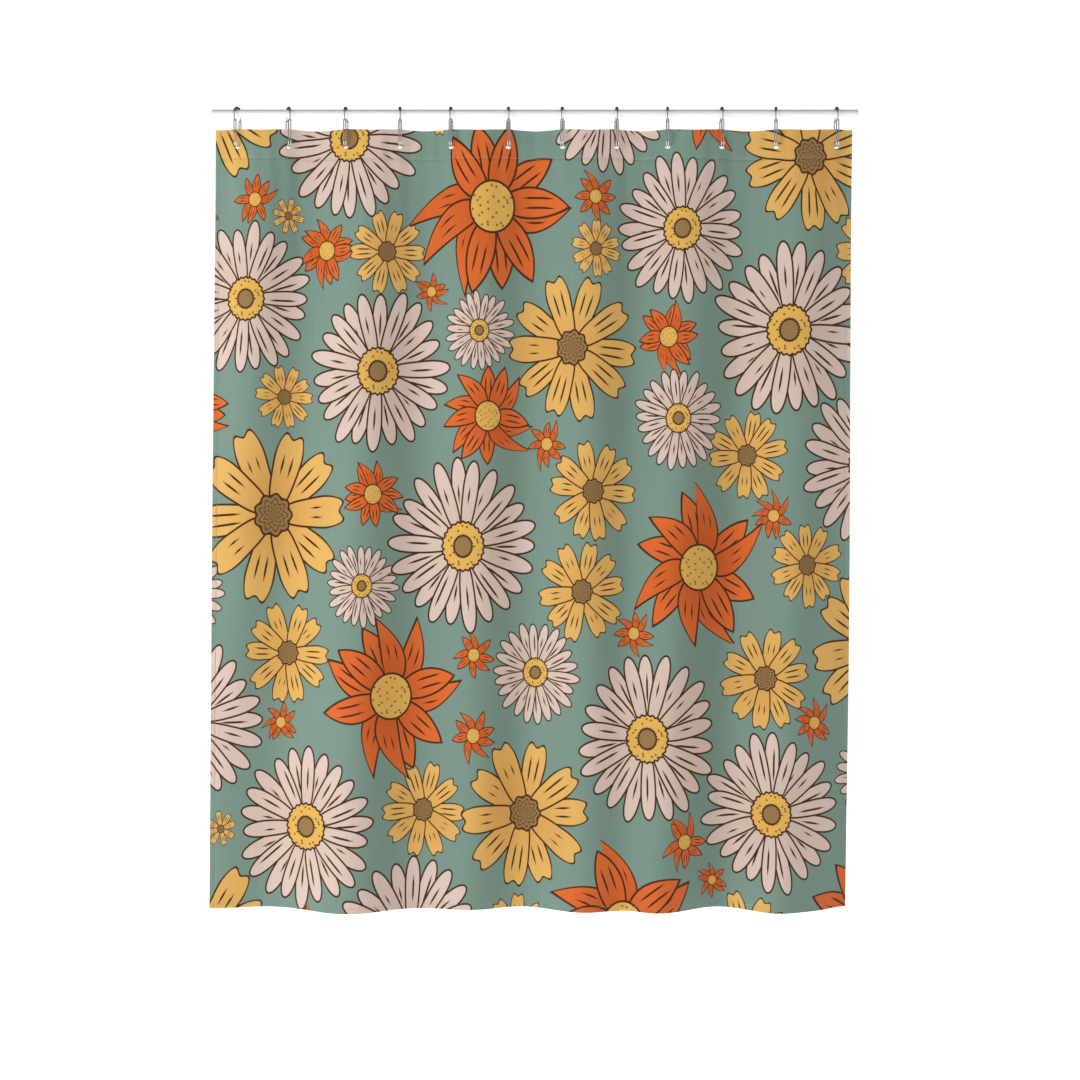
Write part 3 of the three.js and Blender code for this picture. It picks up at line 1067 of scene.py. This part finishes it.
def chromeMaterial(name):
    roughness = chromeLook["roughness"]
    metallic = chromeLook["metal"][name]
    material, tree, shader = newMaterial(name + "Chrome", chromeLook[name], roughness, metallic)
    relief = reliefAt(tree, 900.0)
    worn = calc(tree, "MULTIPLY_ADD", relief["Mask"], chromeLook["scuffed"] * 0.4, roughness * 0.6)
    tree.links.new(worn, shader.inputs["Roughness"])
    return material


def arcPoints(centreY, centreZ, reachY, reachZ, fromAngle, toAngle, count):
    points = []
    for k in range(count + 1):
        angle = fromAngle + (toAngle - fromAngle) * k / count
        points.append((0, centreY + reachY * math.cos(angle), centreZ + reachZ * math.sin(angle)))
    return points


def archPath():
    curl = arcPoints(-legDepth, barHeight, catchOffset, catchOffset, 0, -math.pi, 14)
    over = arcPoints(0, 0, archDepth, archHeight, math.pi, 0, 40)
    lastCurl = arcPoints(legDepth, barHeight, catchOffset, catchOffset, 0, -math.pi, 14)
    return curl + over + lastCurl


def linkPath():
    half, corner = hookSizes["linkHalfWidth"], hookSizes["shoulderRadius"]
    bendCentre = legDepth - hookSizes["linkBottom"]
    points = []
    for side, face in ((1, 1), (-1, -1)):
        for k in range(31):
            angle = math.pi * k / 30
            y = -face * legDepth * math.cos(angle)
            points.append((side * half, y, bendCentre - legDepth * math.sin(angle)))
        for sweep in (0, 1):
            for k in range(7):
                angle = math.pi / 2 * (k / 6 + sweep)
                x = corner * math.cos(angle) + (half - corner) * (1 if sweep == 0 else -1)
                z = barHeight - corner + corner * math.sin(angle)
                points.append((side * x, face * legDepth, z))
    return points


def bentWire(name, path, radius, closed):
    curve = bpy.data.curves.new(name, "CURVE")
    curve.dimensions = "3D"
    curve.bevel_depth = radius
    curve.bevel_resolution = 3
    curve.use_fill_caps = True
    line = curve.splines.new("POLY")
    line.points.add(len(path) - 1)
    for point, place in zip(line.points, path):
        point.co = (*place, 1)
    line.use_cyclic_u = closed
    holder = bpy.data.objects.new(name, curve)
    bpy.context.collection.objects.link(holder)
    ready = holder.evaluated_get(bpy.context.evaluated_depsgraph_get())
    mesh = bpy.data.meshes.new_from_object(ready)
    bpy.data.objects.remove(holder)
    smoothMesh(mesh, 50)
    return mesh


def beadMesh():
    # barrel-like rollers threaded along the arch
    points, faces = [], []
    rings, sides = 13, 24
    cut = hookSizes["barrelCut"]
    mean = (archHeight + archDepth) / 2
    for bead in range(hookSizes["beadCount"]):
        offset = (bead - (hookSizes["beadCount"] - 1) / 2) * hookSizes["beadPitch"] / mean
        angle = math.pi / 2 + offset
        centre = Vector((0, archDepth * math.cos(angle), archHeight * math.sin(angle)))
        along = Vector((0, -archDepth * math.sin(angle), archHeight * math.cos(angle))).normalized()
        outward = Vector((0, along.z, -along.y))
        first = len(points)
        for ring in range(rings):
            polar = math.pi * (cut + (1 - 2 * cut) * ring / (rings - 1))
            shift = hookSizes["beadRadius"] * math.cos(polar)
            size = hookSizes["beadRadius"] * math.sin(polar) ** 0.8
            for k in range(sides):
                spin = 2 * math.pi * k / sides
                spoke = Vector((math.cos(spin), 0, 0)) + outward * math.sin(spin)
                points.append(centre + along * shift + spoke * size)
        faces += barrelFaces(first, rings, sides)
    mesh = newMesh("rollerBeads", points, faces)
    smoothMesh(mesh, 50)
    return mesh


def hookTurn(number):
    arch = vertexArray("hook_arch_" + number)
    place = (arch.min(axis=0) + arch.max(axis=0)) / 2
    direction = np.linalg.eigh(np.cov((arch - place)[:, :2].T))[1][:, 1]
    if direction[1] < 0:
        direction = -direction
    return place[0], math.atan2(-direction[0], direction[1])


def placedCopy(name, mesh, x, turn):
    copy = mesh.copy()
    flat = np.empty(len(copy.vertices) * 3)
    copy.vertices.foreach_get("co", flat)
    place = flat.reshape(-1, 3)
    across, back = turnedPlace(place[:, 0], place[:, 1], turn)
    copy.vertices.foreach_set("co", np.stack([x + across, back, place[:, 2]], axis=1).ravel())
    copy.update()
    return addObject(name, copy, [])


hookPieces = {
    "arch": (bentWire("arch", archPath(), hookSizes["wireRadius"], False), "hook_wire"),
    "beads": (beadMesh(), "roller_beads"),
    "link": (bentWire("link", linkPath(), hookSizes["linkRadius"], True), "hook_link"),
}
for label, (mesh, slotName) in hookPieces.items():
    mesh.materials.clear()
    mesh.materials.append(chromeMaterial(label))

for number, centre, turn in zip(hookNumbers, eyeletCentres, eyeletTurns):
    hookX, yaw = hookTurn(number)
    body = "hook_" + number
    for label, (mesh, slotName) in hookPieces.items():
        piece = placedCopy(label + number, mesh, hookX, yaw)
        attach(piece, body)
        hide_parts(f"hook_{label}_{number}")
    ring = whippedEyelet(number, centre, turn)
    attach(ring, body)
    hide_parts("eyelet_" + number)
print("hooks hung:", len(hookNumbers))

# Rod and its end plugs

rodLook = {"tint": tint(240, 240, 243), "roughness": 0.42, "wall": 0.0012, "sides": 96}
plugLook = {"tint": tint(233, 233, 236), "roughness": 0.48, "chamfer": 0.0005}


def turnedAlongX(name, profile, material, sides):
    # profile is a closed run of (x, radius) points; points on the axis close the ends
    points, faces = [], []
    for x, radius in profile:
        for k in range(sides):
            angle = 2 * math.pi * k / sides
            points.append((x, radius * math.cos(angle), radius * math.sin(angle)))
    for n in range(len(profile)):
        following = (n + 1) % len(profile)
        if profile[n][1] == 0 and profile[following][1] == 0:
            continue
        for k in range(sides):
            m = (k + 1) % sides
            faces.append((n * sides + k, n * sides + m, following * sides + m, following * sides + k))
    mesh = newMesh(name, points, faces)
    mesh.validate()
    thing = addObject(name, mesh, [material])
    weld = thing.modifiers.new("weld", "WELD")
    weld.merge_threshold = 0.00001
    ready = thing.evaluated_get(bpy.context.evaluated_depsgraph_get())
    thing.data = bpy.data.meshes.new_from_object(ready)
    thing.modifiers.clear()
    smoothMesh(thing.data, 35)
    return thing


def coatMaterial(name, look, scale, coat):
    material, tree, shader = newMaterial(name, look["tint"], look["roughness"])
    relief = reliefAt(tree, scale)
    addBump(tree, shader, relief["Height"], 0.0001, 0.15)
    rough = calc(tree, "MULTIPLY_ADD", relief["Mask"], 0.12, look["roughness"] - 0.06)
    tree.links.new(rough, shader.inputs["Roughness"])
    shader.inputs["Coat Weight"].default_value = coat
    return material


rodCoat = coatMaterial("rodCoat", rodLook, 700.0, 0.25)
plugPlastic = coatMaterial("plugPlastic", plugLook, 1200.0, 0.0)
rodPoints = vertexArray("rod_tube")
rodRadius = rodPoints[:, 2].max()
rodLeft, rodRight = rodPoints[:, 0].min(), rodPoints[:, 0].max()
rodInner = rodRadius - rodLook["wall"]
rodProfile = [(rodLeft, rodRadius), (rodRight, rodRadius), (rodRight, rodInner), (rodLeft, rodInner)]
rodTube = turnedAlongX("rodTube", rodProfile, rodCoat, rodLook["sides"])
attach(rodTube, "rod")
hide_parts("rod_tube")

for side, word in ((-1, "left"), (1, "right")):
    plugPoints = vertexArray("end_plug_" + word)
    xs = plugPoints[:, 0] * side
    outer, inner = xs.max(), xs.min()
    flange = outer - rodRight - hookSizes["fitGap"]
    chamfer = plugLook["chamfer"]
    spigot = rodInner - hookSizes["fitGap"]
    profile = [
        (inner, 0), (inner, spigot - chamfer), (inner + chamfer, spigot), (outer - flange, spigot),
        (outer - flange, rodRadius), (outer - chamfer, rodRadius), (outer, rodRadius - chamfer), (outer, 0),
    ]
    profile = [(side * x, radius) for x, radius in profile]
    plug = turnedAlongX("endPlug" + word.capitalize(), profile, plugPlastic, rodLook["sides"])
    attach(plug, "rod")
    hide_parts("end_plug_" + word)
print("rod fitted")

# The cloth's pieces ride the curtain

clothPieces = [
    (panel, "curtain_panel", "printed_cloth"),
    (topHem, "top_hem", "hem_cloth"),
    (footHem, "bottom_hem", "hem_cloth"),
    (leftHem, "side_hem_left", "hem_cloth"),
    (rightHem, "side_hem_right", "hem_cloth"),
    (seamThread, None, "eyelet_thread"),
]
for piece, node, slotName in clothPieces:
    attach(piece, "curtain")
    if node:
        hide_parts(node)
    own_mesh(piece)

# Floor

floorMaterial, floorTree, floorShader = newMaterial("paleFloor", (0.93, 0.93, 0.93, 1), 0.9)
floorShader.inputs["Emission Color"].default_value = (1, 1, 1, 1)
floorShader.inputs["Emission Strength"].default_value = studio["floorGlow"]
floorHalf = studio["floorSize"] / 2
floorZ = clothFoot - studio["floorDrop"]
floorSides = ((-1, -1), (1, -1), (1, 1), (-1, 1))
floorCorners = [(side * floorHalf, depth * floorHalf, floorZ) for side, depth in floorSides]
floor = addObject("floor", newMesh("floor", floorCorners, [(0, 1, 2, 3)]), [floorMaterial])
print("stage set")
